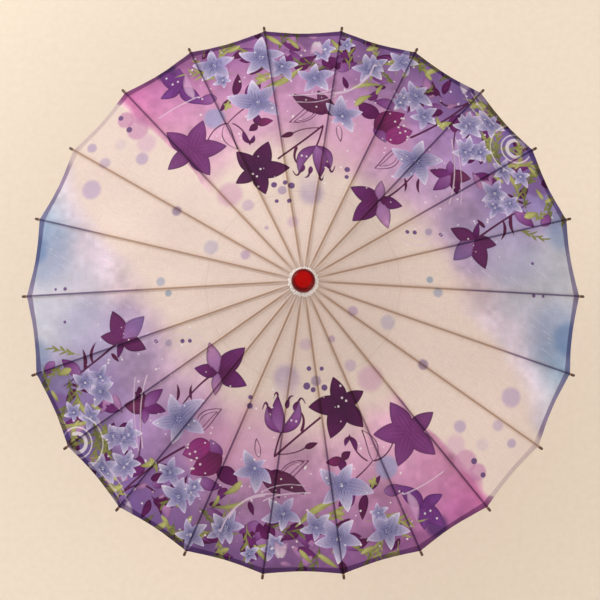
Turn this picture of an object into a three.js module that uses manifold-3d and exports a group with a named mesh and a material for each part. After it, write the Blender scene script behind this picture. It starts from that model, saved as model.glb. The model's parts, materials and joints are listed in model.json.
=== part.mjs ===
// Hand-painted folding parasol: shaft and handle, slotted top hub, sliding runner on a sprung catch,
// ribs with forked struts, a one-piece canopy, and the collar and knob that close the crown.
// Millimetres, +Z up along the shaft, origin in the middle of the handle's end face, drawn open.
import * as THREE from "three";
import { mergeVertices } from "three/addons/utils/BufferGeometryUtils.js";
import Module from "manifold-3d";

// ---- driving sizes ----
const ribCount = 22;
const firstRibDeg = 90 - 180 / ribCount; // +Y runs down the middle of a panel
const gap = 0.3; // between pieces that touch in the real thing
const pinGap = 0.25; // on each side of a tongue in its fork, and of a web in its slot

// linkage
const openDeg = 68; // rib to shaft, open
const pivotRadius = 15; // of the rib pivots on the hub and the strut pivots on the runner
const jointDistance = 132; // hub pivot to strut joint, and strut joint to runner pivot
const ribLength = 437; // hub pivot to rib tip
const hubHeight = 520; // of the rib pivots above the handle's end

// ribs
const webWidth = 2.0; // inner ends of ribs and struts, where they run in slots
const ribWidthMid = 4.0;
const ribWidthEnd = 3.2;
const ribUnder = 2.5; // underside of a rib above its pivot line
const ribTop = 6.0; // upper side of a rib above its pivot line
const ribEndDepth = 2.6;
const footStart = 7; // a rib's blade starts this far out from its pivot
const footEnd = 14; // the foot plate under the blade ends here
const footSink = 0.2; // how deep foot and tongue are set into the blade
const widenEnd = 70; // the blade has its middle width from here
const slimStart = 40; // past the strut joint, where the blade starts to get thinner
const tipLength = 9; // bare end beyond the cloth
const tipSwell = 0.5;
const tipRound = 1.4;
const lugWidth = 1.5; // tongue under a rib that the strut's fork takes
const lugRadius = 2.2;
const holeRadius = 0.95; // for the tie wire and the threads
const edgeCut = 0.5; // chamfer along ribs and struts

// struts
const strutDepth = 3.5;
const strutWidth = 3.2;
const prongWidth = 1.0;
const prongLength = 9;
const shoulderLength = 26; // fork and shoulder, up to the plain width
const strutNeck = 24; // slim length at a strut's inner end
const neckTaper = 16;
const strutEndCut = 0.4;

// hub and runner
const slotFloor = 11.9;
const headRadius = 18.5;
const wireRadius = 0.6;
const hubBoss = 10; // radius of the hub's neck and boss
const hubBelow = 14;
const hubPinRise = 4; // of the hub pin above the hub's lower end
const hubNeckTop = 13.5;
const hubDiscTop = 3.2;
const hubDiscSlope = 1.8;
const headHalf = 4.5; // the slotted disc, below and above its pivots
const tailRadius = 11.5;
const tailWaist = 1.2; // how much slimmer the runner's tail is between its two beads
const tailLength = 46;
const tailBead = 9;
const keyWidth = 3.4; // keyway in the runner that passes over the catch

// shaft, pins, catch
const shaftRadius = 6.5;
const shaftBottom = 30;
const shaftAboveHub = 22;
const shaftCut = 0.8;
const bore = shaftRadius + gap;
const pinRadius = 1.0;
const stopPinLength = 17;
const catchWidth = 2.4;
const catchReach = 2.7; // how far the catch stands out of the shaft
const catchHeight = 34;
const catchBack = -1.5; // plane of the catch's back edge
const catchEye = 3.0; // radius of its lower end round the pivot
const catchPivotX = 1.5;
const catchSlope = 22; // height of its sloping nose
const catchNose = 6; // height of the straight edge over the slope
const catchCorner = 1;
const springThickness = 0.4; // leaf behind the catch
const springWidth = 2.0;
const springReach = 7.5; // half the leaf's length along the shaft

// canopy, collar, knob
const clothThickness = 0.8;
const clothOpening = 11.5; // radius of the hole at the crown
const edgeSag = 2.8; // how far the hem curves in between two ribs
const crownGap = 0.35; // between the cloth, the collar and the knob
const collarRadius = 20.5;
const collarThickness = 2.2;
const collarRound = 1.4;
const knobRadius = 16.8;
const knobHeight = 18.6; // above its rim on the collar
const knobFlat = 0.6; // share of the knob's radius that is its nearly flat top
const knobBead = 0.9; // share of the knob's height where the flat top starts
const knobSide = 4; // height of its upright side
const knobRound = 0.8; // of its lower edge

// handle
const gripBottom = 5.3;
const gripTop = 118;
const gripRadius = 12;
const gripGroove = 2.0; // depth of the ring turned near its lower end
const gripNeck = 2.4; // how much slimmer it is under the upper bead
const capRadius = 11.5;
const capHeight = 5;
const spigotRadius = 5;
const spigotTop = 13;

// fineness of round shapes
const steps = 40;
const pinSteps = 12;
const holeSteps = 8;
const lugSteps = 5;
const acrossPanel = 4;

// ---- derived ----
const rad = Math.PI / 180;
const sinOpen = Math.sin(openDeg * rad);
const cosOpen = Math.cos(openDeg * rad);
const runnerHeight = hubHeight - 2 * jointDistance * cosOpen;
const slotWidth = webWidth + 2 * pinGap;
const forkGap = lugWidth + 2 * pinGap;
const clothLength = ribLength - tipLength;
const clothUnder = ribTop + gap;
const clothTop = clothUnder + clothThickness;
const collarUnder = clothTop + crownGap;
const grooveFloor = pivotRadius - wireRadius - gap;
const grooveHalf = wireRadius + gap;
const hubPinZ = hubHeight - hubBelow + hubPinRise;
const runnerBottom = runnerHeight - headHalf - tailLength;
const catchTop = runnerBottom - gap - 0.2;
const catchPivot = new THREE.Vector3(catchPivotX, 0, catchTop - catchHeight + catchEye + 0.4);
const catchSlotFloor = catchBack - catchReach - springThickness - gap;
const stopPinZ = runnerHeight + headHalf + gap + pinRadius;
const xAxis = new THREE.Vector3(1, 0, 0);
const yAxis = new THREE.Vector3(0, 1, 0);
const zAxis = new THREE.Vector3(0, 0, 1);
const { lerp, smoothstep } = THREE.MathUtils;

// height of the cone that lies n above the pivot line of the ribs, at radius r
const cone = (r, n) => hubHeight + n / sinOpen - ((r - pivotRadius) * cosOpen) / sinOpen;
const ribAngle = (k) => (firstRibDeg - (360 / ribCount) * k) * rad;

// ---- helpers ----
const wasm = await Module();
wasm.setup();

// A closed surface from points and triangles, facing out.
function closed(points, faces) {
  const cross = new THREE.Vector3();
  let volume = 0;
  for (const [i, j, k] of faces) volume += points[i].dot(cross.crossVectors(points[j], points[k]));
  const facing = faces.map(([i, j, k]) => (volume < 0 ? [i, k, j] : [i, j, k]));
  const g = new THREE.BufferGeometry().setFromPoints(points);
  g.setIndex(facing.flat());
  return g;
}

// A skin over rings of points that all have the same count, with flat ends.
function loft(rings) {
  const m = rings[0].length;
  const last = (rings.length - 1) * m;
  const faces = [];
  for (let a = 0; a < last; a += m)
    for (let j = 0; j < m; j++) {
      const p = a + j;
      const q = a + ((j + 1) % m);
      faces.push([p, q, q + m], [p, q + m, p + m]);
    }
  for (let j = 1; j + 1 < m; j++) faces.push([0, j + 1, j], [last, last + j, last + j + 1]);
  return closed(rings.flat(), faces);
}

function bare(g) {
  const out = new THREE.BufferGeometry().setAttribute("position", g.getAttribute("position").clone());
  if (g.index) out.setIndex(g.index.clone());
  return mergeVertices(out, 1e-4);
}

function toSolid(g) {
  const m = bare(g);
  const vertProperties = new Float32Array(m.attributes.position.array);
  const triVerts = new Uint32Array(m.index.array);
  return new wasm.Manifold(new wasm.Mesh({ numProp: 3, vertProperties, triVerts }));
}

function toGeometry(solid) {
  const m = solid.getMesh();
  const g = new THREE.BufferGeometry();
  g.setAttribute("position", new THREE.Float32BufferAttribute(m.vertProperties, 3));
  g.setIndex(Array.from(m.triVerts));
  return g;
}

function join(...pieces) {
  return toGeometry(pieces.map(toSolid).reduce((a, b) => a.add(b)));
}

function cut(g, ...tools) {
  return toGeometry(tools.map(toSolid).reduce((a, b) => a.subtract(b), toSolid(g)));
}

// A profile of [radius, height] pairs, turned about +Z, with a corner at the angle phase.
function turned(profile, n = steps, phase = -Math.PI / 2) {
  const ring = profile.map(([r, z]) => new THREE.Vector2(r, z));
  const onAxis = profile[0][0] === 0 && profile[profile.length - 1][0] === 0;
  if (!onAxis) ring.push(ring[0].clone());
  const m = bare(new THREE.LatheGeometry(ring, n).rotateX(Math.PI / 2).rotateZ(phase + Math.PI / 2));
  const p = m.attributes.position;
  const points = Array.from({ length: p.count }, (_, i) => new THREE.Vector3().fromBufferAttribute(p, i));
  const faces = [];
  for (let i = 0; i < m.index.count; i += 3) {
    const face = [0, 1, 2].map((j) => m.index.getX(i + j));
    if (new Set(face).size === 3) faces.push(face);
  }
  return closed(points, faces);
}

// A rod of radius r and length l with its middle at p, along the unit vector d.
function rod(r, l, p, d, n = pinSteps) {
  const q = new THREE.Quaternion().setFromUnitVectors(yAxis, d);
  return new THREE.CylinderGeometry(r, r, l, n).applyQuaternion(q).translate(p.x, p.y, p.z);
}

function box(x0, x1, y0, y1, z0, z1) {
  const g = new THREE.BoxGeometry(x1 - x0, y1 - y0, z1 - z0);
  return g.translate((x0 + x1) / 2, (y0 + y1) / 2, (z0 + z1) / 2);
}

// An outline in x and y, extruded to either side of z = 0.
function plate(outline, width) {
  const shape = new THREE.Shape(outline.map(([x, y]) => new THREE.Vector2(x, y)));
  return new THREE.ExtrudeGeometry(shape, { depth: width, bevelEnabled: false }).translate(0, 0, -width / 2);
}

// Points of an arc, from one angle in degrees to another.
function arc(cx, cy, r, from, to, n) {
  return Array.from({ length: n + 1 }, (_, i) => {
    const t = lerp(from, to, i / n) * rad;
    return [cx + r * Math.cos(t), cy + r * Math.sin(t)];
  });
}

// A rectangle with cut corners across a stick that runs along x.
function section(x, low, high, width, c = edgeCut) {
  const w = width / 2;
  const corners = [[low, w - c], [low + c, w], [high - c, w], [high, w - c]];
  const ring = [...corners, ...corners.map(([y, z]) => [y, -z]).reverse()];
  return ring.map(([y, z]) => new THREE.Vector3(x, y, z));
}

const threadHole = (x) => rod(holeRadius, 8, new THREE.Vector3(x, 0, 0), zAxis, holeSteps);

// ---- one rib, pivot at the origin, lying along +x with +y outwards ----
function ribGeometry() {
  const widthAt = (x) =>
    x < jointDistance
      ? lerp(webWidth, ribWidthMid, smoothstep(x, footEnd - 2, widenEnd))
      : lerp(ribWidthMid, ribWidthEnd, smoothstep(x, jointDistance + 1.5 * slimStart, clothLength));
  const tipUnder = ribTop - ribEndDepth;
  const underAt = (x) => lerp(ribUnder, tipUnder, smoothstep(x, jointDistance + slimStart, clothLength));
  const plain = [footStart, footEnd, widenEnd, jointDistance, jointDistance + 110];
  const stations = [...plain, clothLength - 60, clothLength + 1];
  const tipWidth = ribWidthEnd + 1.6 * tipSwell;
  const blade = loft([
    ...stations.map((x) => section(x, underAt(x), ribTop, widthAt(x))),
    section(clothLength + 2, tipUnder - tipSwell, ribTop + 0.6 * tipSwell, tipWidth, 0.9),
    section(ribLength - tipRound, tipUnder - tipSwell, ribTop + 0.6 * tipSwell, tipWidth, 0.9),
    section(ribLength, tipUnder + gap, ribTop - gap, ribWidthEnd - 0.9, 0.6),
  ]);
  const foot = plate([
    ...arc(0, 0, lugRadius, 100, 300, lugSteps), [footStart + 2, ribUnder], [footEnd, ribUnder + footSink],
    [footEnd, ribTop - footSink], [footStart - 0.5, ribTop - footSink],
  ], webWidth);
  const tongueTop = ribUnder + 3 * footSink;
  const tongue = plate([
    [jointDistance - lugRadius, tongueTop], ...arc(jointDistance, 0, lugRadius, 180, 360, lugSteps),
    [jointDistance + lugRadius, tongueTop],
  ], lugWidth);
  return cut(join(blade, foot, tongue), threadHole(0), threadHole(jointDistance));
}

// ---- one strut, joint at the origin, lying along +x to the runner's pivot ----
function strutGeometry() {
  const h = strutDepth / 2;
  const forkWidth = forkGap + 2 * prongWidth;
  const neckStart = jointDistance - strutNeck;
  const body = loft([
    section(-h, -h / 2, h / 2, forkWidth, strutEndCut), section(-h / 2, -h, h, forkWidth),
    section(prongLength, -h, h, forkWidth), section(shoulderLength, -h, h, strutWidth),
    section(neckStart - neckTaper, -h, h, strutWidth), section(neckStart, -h, h, webWidth),
    section(jointDistance + h / 2, -h, h, webWidth),
    section(jointDistance + h, -h / 2, h / 2, webWidth, strutEndCut),
  ]);
  const fork = box(-lugRadius * 2, lugRadius + 1.2, -strutDepth, strutDepth, -forkGap / 2, forkGap / 2);
  return cut(body, fork, threadHole(0), threadHole(jointDistance));
}

// ---- hub and runner: turned blanks with one slot for each rib or strut ----
function slotted(profile, z0, z1) {
  const slots = Array.from({ length: ribCount }, (_, k) =>
    box(slotFloor, headRadius + 2, -slotWidth / 2, slotWidth / 2, z0, z1).rotateZ(ribAngle(k)));
  return cut(turned(profile, ribCount * 2, ribAngle(0)), ...slots);
}

// The groove that the tie lies in, round the height of the pivots.
const tieGroove = (h) => [
  [headRadius, h - grooveHalf], [grooveFloor, h - grooveHalf],
  [grooveFloor, h + grooveHalf], [headRadius, h + grooveHalf],
];

function hubGeometry() {
  const h = hubHeight;
  const discTop = h + hubDiscTop;
  const blank = slotted([
    [bore, h - hubBelow], [hubBoss - 1, h - hubBelow], [hubBoss, h - hubBelow + 1], [hubBoss, h - headHalf],
    [headRadius, h - headHalf], ...tieGroove(h), [headRadius, discTop], [slotFloor, discTop + hubDiscSlope],
    [hubBoss, discTop + 2], [hubBoss, h + hubNeckTop], [bore, h + hubNeckTop],
  ], h - headHalf - 1, discTop + 4);
  return cut(blank, rod(pinRadius + gap, 4 * hubBoss, new THREE.Vector3(0, 0, hubPinZ), xAxis));
}

function runnerGeometry() {
  const h = runnerHeight;
  const low = runnerBottom;
  const waist = tailRadius - tailWaist;
  const blank = slotted([
    [bore, low], [tailRadius - 1.5, low], [tailRadius, low + 2], [tailRadius, low + tailBead],
    [waist, low + tailBead + 2], [waist, h - headHalf - 6], [tailRadius, h - headHalf - 3],
    [tailRadius, h - headHalf], [headRadius, h - headHalf], ...tieGroove(h), [headRadius, h + headHalf - 1],
    [headRadius - 1, h + headHalf], [bore, h + headHalf],
  ], h - headHalf - 1, h + headHalf + 1);
  const keyReach = shaftRadius + catchReach + 2 * gap;
  return cut(blank, box(0, keyReach, -keyWidth / 2, keyWidth / 2, low - 1, h + headHalf + 1));
}

// ---- shaft with its pin holes and the slot for the catch ----
function shaftGeometry() {
  const top = hubHeight + shaftAboveHub;
  const slim = shaftRadius - shaftCut;
  const half = catchWidth / 2 + gap;
  const hole = (p, d) => rod(pinRadius + gap, 30, p, d);
  return cut(
    turned([[0, shaftBottom], [slim, shaftBottom], [shaftRadius, shaftBottom + shaftCut],
      [shaftRadius, top - shaftCut], [slim, top], [0, top]]),
    box(catchSlotFloor, shaftRadius + 2, -half, half, catchTop - catchHeight - 1.5, catchTop + 2),
    hole(new THREE.Vector3(0, 0, hubPinZ), xAxis),
    hole(new THREE.Vector3(0, 0, stopPinZ), yAxis),
    hole(catchPivot, yAxis));
}

function catchGeometry() {
  const p = catchPivot;
  const out = shaftRadius + catchReach;
  const z = catchTop;
  const c = catchCorner;
  const g = plate([
    ...arc(p.x, p.z, catchEye, 180, 330, 6), [shaftRadius - 0.4, z - catchSlope], [out, z - catchNose],
    [out, z - c], [out - c, z], [catchBack + c / 2, z], [catchBack, z - c],
  ], catchWidth).rotateX(Math.PI / 2);
  return cut(g, rod(pinRadius + gap, 4 * catchWidth, p, yAxis));
}

// A bowed leaf that stands on the floor of the slot and bears on the catch's back.
function springGeometry() {
  const low = catchSlotFloor + gap;
  const high = catchBack - gap - springThickness;
  const middle = catchTop - catchHeight / 2;
  const n = 8;
  const bow = Array.from({ length: n + 1 }, (_, i) => {
    const u = (2 * i) / n - 1;
    return [lerp(high, low, u * u), middle + springReach * u];
  });
  const back = bow.map(([x, z]) => [x + springThickness, z]).reverse();
  return plate([...bow, ...back], springWidth).rotateX(Math.PI / 2);
}

// ---- canopy: panels between the ribs, hem curving in between two ribs ----
function canopyGeometry() {
  const points = [];
  const faces = [];
  const ring = 6; // points across the cloth at one place round it: three on top, three under
  const at = (k, length, n) => {
    const a = ribAngle(k);
    const r = pivotRadius + length * sinOpen + n * cosOpen;
    return new THREE.Vector3(r * Math.cos(a), r * Math.sin(a), hubHeight - length * cosOpen + n * sinOpen);
  };
  const inner = (n) => (clothOpening - pivotRadius - n * cosOpen) / sinOpen;
  const between = (k, u, length, n) => at(k, length, n).lerp(at(k + 1, length, n), u);
  for (let i = 0; i < ribCount * acrossPanel; i++) {
    const k = Math.floor(i / acrossPanel);
    const u = (i % acrossPanel) / acrossPanel;
    const pull = edgeSag * 4 * u * (1 - u);
    for (const n of [clothTop, clothUnder]) {
      points.push(between(k, u, inner(n), n), between(k, u, jointDistance, n));
      points.push(between(k, u, clothLength, n).lerp(between(k, u, 0, n), pull / clothLength));
    }
  }
  for (let i = 0; i < points.length; i += ring) {
    const j = (i + ring) % points.length;
    for (const [p, q] of [[0, 1], [1, 2], [2, 5], [5, 4], [4, 3], [3, 0]])
      faces.push([i + p, j + p, j + q], [i + p, j + q, i + q]);
  }
  return closed(points, faces);
}

// ---- crown ----
function collarGeometry() {
  const R = collarRadius;
  const t = collarThickness;
  const at = (r, up) => [r, cone(r, collarUnder) + up];
  const inner = hubBoss + gap;
  return turned([
    at(inner, 0), at(R - 0.6, 0), at(R, 0.5), at(R - 0.1, t * 0.6), at(R - collarRound / 2, t - 0.1),
    at(R - collarRound, t), at(inner, t),
  ]);
}

function knobGeometry() {
  const R = knobRadius;
  const over = collarThickness + crownGap;
  const rim = cone(R - knobRound, collarUnder) + over;
  const inner = hubBoss + gap;
  const neck = hubHeight + hubNeckTop + gap;
  const shaftTop = hubHeight + shaftAboveHub + gap;
  const flat = knobFlat * R;
  const bead = knobBead * knobHeight;
  const shoulder = Array.from({ length: 8 }, (_, i) => {
    const a = (i / 7) * 82 * rad;
    return [flat + (R - flat) * Math.cos(a), rim + knobSide + (bead - knobSide) * Math.sin(a)];
  });
  const top = [1, 0.66, 0.33, 0].map((u) => [flat * u, rim + lerp(knobHeight, bead, u * u)]);
  return turned([
    [0, shaftTop], [bore, shaftTop], [bore, neck], [inner, neck], [inner, cone(inner, collarUnder) + over],
    [R - knobRound, rim], [R - knobRound / 4, rim + knobRound / 2], [R, rim + 1.4], ...shoulder, ...top,
  ]);
}

// ---- handle ----
function gripGeometry() {
  const r = gripRadius;
  const b = gripBottom;
  const t = gripTop;
  const foot = [
    [r - 1.6, b], [r - 0.6, b + 1.2], [r, b + 3.5], [r - 0.5, b + 6], [r - gripGroove, b + 7.2],
    [r - gripGroove, b + 8.4], [r - 0.6, b + 9.6], [r, b + 13],
  ];
  const body = [[r + 0.2, b + 30], [r - 0.4, b + 55], [r - 1.6, t - 30]];
  const head = [
    [r - gripNeck, t - 18], [r - gripNeck, t - 15], [r - 1, t - 13.6], [r - 0.8, t - 11.6],
    [r - 1.8, t - 10], [r - 2.6, t - 8.6], [r - 2.8, t - 3], [r - 3.6, t],
  ];
  const shaftEnd = shaftBottom - gap;
  const spigotBore = spigotRadius + gap;
  const hollow = [[bore, t], [bore, shaftEnd], [spigotBore, shaftEnd]];
  return turned([[spigotBore, b], ...foot, ...body, ...head, ...hollow]);
}

function capGeometry() {
  return turned([
    [0, 0], [capRadius - 1.5, 0], [capRadius - 0.4, 0.5], [capRadius, 1.6], [capRadius, capHeight - 1],
    [capRadius - 0.8, capHeight], [spigotRadius, capHeight], [spigotRadius, spigotTop], [0, spigotTop],
  ]);
}

// ---- materials ----
const finish = (color, roughness, metalness = 0) =>
  new THREE.MeshStandardMaterial({ color, roughness, metalness });
const looks = {
  bamboo: finish(0xc9a268, 0.6),
  strut: finish(0xc39a5e, 0.6),
  shaft: finish(0xb98a52, 0.5),
  turned: finish(0x6b3f22, 0.55),
  cloth: finish(0xe6dcd4, 0.8),
  paper: finish(0xefe9df, 0.7),
  lacquer: finish(0xb01818, 0.15),
  handle: finish(0x4a2716, 0.3),
  metal: finish(0x9b9b9b, 0.35, 0.9),
  catch: finish(0x8f8a80, 0.4, 0.9),
};

// ---- assembly ----
const group = new THREE.Group();
function add(name, geometry, look) {
  const g = geometry.index ? geometry.toNonIndexed() : geometry;
  g.computeVertexNormals();
  const mesh = new THREE.Mesh(g, looks[look]);
  mesh.name = name;
  group.add(mesh);
  return mesh;
}

// The ribs round the hub, each with its strut folded out under it.
const rib = ribGeometry();
const strut = strutGeometry();
for (let k = 0; k < ribCount; k++) {
  const number = String(k + 1).padStart(2, "0");
  const out = new THREE.Vector3(Math.cos(ribAngle(k)), Math.sin(ribAngle(k)), 0);
  const side = new THREE.Vector3().crossVectors(zAxis, out);
  const mix = (a, b) => out.clone().multiplyScalar(a).addScaledVector(zAxis, b);
  const pivot = out.clone().multiplyScalar(pivotRadius).setZ(hubHeight);
  const along = mix(sinOpen, -cosOpen);
  const ribPlace = new THREE.Matrix4().makeBasis(along, mix(cosOpen, sinOpen), side.clone().negate());
  add(`rib_${number}`, rib, "bamboo").applyMatrix4(ribPlace.setPosition(pivot));
  const joint = pivot.clone().addScaledVector(along, jointDistance);
  const strutPlace = new THREE.Matrix4().makeBasis(mix(-sinOpen, -cosOpen), mix(-cosOpen, sinOpen), side);
  add(`strut_${number}`, strut, "strut").applyMatrix4(strutPlace.setPosition(joint));
}

add("shaft", shaftGeometry(), "shaft");
add("top_hub", hubGeometry(), "turned");
const tie = new THREE.TorusGeometry(pivotRadius, wireRadius, 6, ribCount * 3);
add("hub_tie_wire", tie.translate(0, 0, hubHeight), "metal");
add("hub_pin", rod(pinRadius, 2 * hubBoss - 1, new THREE.Vector3(0, 0, hubPinZ), xAxis), "metal");
add("runner", runnerGeometry(), "turned");
add("runner_stop_pin", rod(pinRadius, stopPinLength, new THREE.Vector3(0, 0, stopPinZ), yAxis), "metal");
add("catch", catchGeometry(), "catch");
add("catch_spring", springGeometry(), "catch");
add("catch_pin", rod(pinRadius, 2 * shaftRadius - 1.2, catchPivot, yAxis), "metal");
add("canopy", canopyGeometry(), "cloth");
add("crown_collar", collarGeometry(), "paper");
add("crown_knob", knobGeometry(), "lacquer");
add("handle_grip", gripGeometry(), "handle");
add("handle_end_cap", capGeometry(), "handle");

export default group;
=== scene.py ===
import json
import math

import bmesh
import bpy
import numpy as np
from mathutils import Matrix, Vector


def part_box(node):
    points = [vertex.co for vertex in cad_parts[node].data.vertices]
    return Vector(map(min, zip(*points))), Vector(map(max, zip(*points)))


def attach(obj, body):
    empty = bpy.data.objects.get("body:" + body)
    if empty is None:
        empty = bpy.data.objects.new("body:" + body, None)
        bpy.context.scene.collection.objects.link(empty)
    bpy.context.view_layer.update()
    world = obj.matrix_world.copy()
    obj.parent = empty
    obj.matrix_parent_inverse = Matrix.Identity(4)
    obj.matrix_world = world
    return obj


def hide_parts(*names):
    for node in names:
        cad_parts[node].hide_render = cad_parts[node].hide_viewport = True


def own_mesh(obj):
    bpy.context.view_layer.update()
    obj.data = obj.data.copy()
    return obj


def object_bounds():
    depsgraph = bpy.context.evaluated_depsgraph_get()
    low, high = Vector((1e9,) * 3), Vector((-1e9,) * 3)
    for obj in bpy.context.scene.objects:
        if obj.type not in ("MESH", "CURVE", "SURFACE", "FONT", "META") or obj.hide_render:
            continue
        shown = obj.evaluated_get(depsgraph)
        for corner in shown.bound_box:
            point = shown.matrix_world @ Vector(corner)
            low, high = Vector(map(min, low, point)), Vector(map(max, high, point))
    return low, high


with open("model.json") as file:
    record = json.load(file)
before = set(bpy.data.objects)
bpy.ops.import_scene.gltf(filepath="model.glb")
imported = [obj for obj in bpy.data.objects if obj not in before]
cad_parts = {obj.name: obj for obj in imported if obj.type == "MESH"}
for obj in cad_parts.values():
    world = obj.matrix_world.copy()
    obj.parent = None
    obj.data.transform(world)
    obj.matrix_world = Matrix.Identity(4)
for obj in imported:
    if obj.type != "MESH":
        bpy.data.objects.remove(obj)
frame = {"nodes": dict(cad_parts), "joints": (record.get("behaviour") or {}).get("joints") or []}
cad_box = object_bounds()


# ---- Camera ----
# It hangs above the crown and leans a few degrees towards -Y, so that the whole cover fills the view.

camera_lean = math.radians(82.8)
camera_distance = 2.161
camera_target = Vector((-0.0046, -0.0163, 0.45))
towards_camera = Vector((0, -math.cos(camera_lean), math.sin(camera_lean)))
camera = bpy.data.objects.new("camera", bpy.data.cameras.new("camera"))
camera.data.lens = 90
camera.data.sensor_width = 36
camera.data.clip_end = 20
camera.location = camera_target + camera_distance * towards_camera
camera.rotation_euler = towards_camera.to_track_quat("Z", "Y").to_euler()
bpy.context.scene.collection.objects.link(camera)
bpy.context.scene.camera = camera


# ---- Studio light ----
# A broad warm window light from the upper left, a weak fill from the other side and a pale sky.

def window(name, place, size, power, colour):
    """An area light that faces the crown."""
    lamp = bpy.data.objects.new(name, bpy.data.lights.new(name, "AREA"))
    lamp.data.size = size
    lamp.data.energy = power
    lamp.data.color = colour
    lamp.location = place
    lamp.rotation_euler = (Vector(place) - Vector((0, 0, 0.4))).to_track_quat("Z", "Y").to_euler()
    bpy.context.scene.collection.objects.link(lamp)


window("window_light", (-2.1, 1.7, 1.5), 1.2, 58, (1.0, 0.955, 0.925))
window("fill_light", (1.8, -1.2, 1.6), 2.0, 27, (1.0, 0.92, 0.86))
sky = bpy.data.worlds.new("pale_sky")
sky.use_nodes = True
sky.node_tree.nodes["Background"].inputs["Color"].default_value = (1.0, 0.96, 0.92, 1)
sky.node_tree.nodes["Background"].inputs["Strength"].default_value = 0.62
bpy.context.scene.world = sky
bpy.context.scene.view_settings.view_transform = "Standard"


# ---- Floor ----
# A plain pale table top of cream paper. It only catches the shadow.

def as_light(shown):
    """Screen colours from 0 to 255 as linear light."""
    parts = np.clip(shown, 0, 255) / 255
    return np.where(parts <= 0.04045, parts / 12.92, ((parts + 0.055) / 1.055) ** 2.4)


def tone(red, green, blue):
    """One screen colour for a shader."""
    return (*as_light((red, green, blue)).tolist(), 1)


def node(tree, kind, inputs=(), **settings):
    """A shader node with its settings, its sockets filled from values or from other sockets."""
    made = tree.nodes.new("ShaderNode" + kind)
    for name, value in settings.items():
        setattr(made, name, value)
    for key, value in dict(inputs).items():
        if isinstance(value, bpy.types.NodeSocket):
            tree.links.new(value, made.inputs[key])
        else:
            made.inputs[key].default_value = value
    return made


def finish_of(name):
    """A new empty material and its node tree."""
    made = bpy.data.materials.new(name)
    made.use_nodes = True
    made.node_tree.nodes.clear()
    return made, made.node_tree


def surface(tree, inputs):
    """A Principled shader on the material's output."""
    skin = node(tree, "BsdfPrincipled", inputs)
    node(tree, "OutputMaterial", {"Surface": skin.outputs[0]})


def blended(tree, share, low, high, how="MIX"):
    """Two colours mixed by a share that varies over the surface."""
    return node(tree, "Mix", {0: share, 6: low, 7: high}, data_type="RGBA", blend_type=how).outputs[2]


def grain(tree, where, stretch, size, detail=3.0, roughness=0.55):
    """Noise on a place that is stretched first."""
    place = node(tree, "Mapping", {"Vector": where, "Scale": stretch}).outputs[0]
    inputs = {"Vector": place, "Scale": size, "Detail": detail, "Roughness": roughness}
    return node(tree, "TexNoise", inputs).outputs[0]


def raised(tree, height, distance, strength=1.0):
    """A bump from a height between 0 and 1."""
    inputs = {"Height": height, "Distance": distance, "Strength": strength}
    return node(tree, "Bump", inputs).outputs[0]


def object_from(name, shape):
    """A new piece from a finished bmesh."""
    mesh = bpy.data.meshes.new(name)
    shape.to_mesh(mesh)
    shape.free()
    mesh.shade_smooth()
    made = bpy.data.objects.new(name, mesh)
    bpy.context.scene.collection.objects.link(made)
    return made


def table_paper():
    made, tree = finish_of("cream_paper")
    where = node(tree, "TexCoord").outputs["Object"]
    tooth = grain(tree, where, (1, 1, 1), 90)
    surface(tree, {
        "Base Color": blended(tree, tooth, tone(232, 218, 198), tone(242, 230, 212)),
        "Roughness": 0.8,
        "Normal": raised(tree, tooth, 0.0004),
    })
    return made


floor_shape = bmesh.new()
bmesh.ops.create_grid(floor_shape, x_segments=2, y_segments=2, size=6)
bmesh.ops.translate(floor_shape, verts=floor_shape.verts, vec=(0, 0, cad_box[0][2] - 0.001))
table_top = object_from("table_top", floor_shape)
table_top.data.materials.append(table_paper())


# ---- Bamboo ribs and struts ----
# 22 long ribs and 22 short struts of split bamboo. Each is shaved to a fine section, its fibres run
# along it, and the bare end of a rib beyond the cover is stained dark.

rib_joints = [joint for joint in frame["joints"] if joint["name"].startswith("rib_fold_")]
rib_count = len(rib_joints)
rib_pitch = 2 * math.pi / rib_count
hub_height = rib_joints[0]["pos_m"][2]
pivot_radius = Vector(rib_joints[0]["pos_m"][:2]).length
open_lean = math.radians(68)
rib_length = 0.437
bare_tip = 0.009
joint_distance = 0.132


def ranged(tree, value, low, high, to_low=0.0, to_high=1.0, how="SMOOTHSTEP"):
    """A value carried from one range to another."""
    inputs = {"Value": value, "From Min": low, "From Max": high, "To Min": to_low, "To Max": to_high}
    return node(tree, "MapRange", inputs, interpolation_type=how).outputs["Result"]


def sum_of(tree, what, *values):
    """One Math node."""
    return node(tree, "Math", dict(enumerate(values)), operation=what).outputs[0]


def distance_out(tree, x, y):
    """How far a place is from the shaft's line."""
    squares = sum_of(tree, "ADD", sum_of(tree, "MULTIPLY", x, x), sum_of(tree, "MULTIPLY", y, y))
    return sum_of(tree, "SQRT", squares)


def rough(tree, texture, smoothest, roughest):
    """Roughness that follows a texture."""
    return ranged(tree, texture, 0.3, 0.7, smoothest, roughest)


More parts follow.
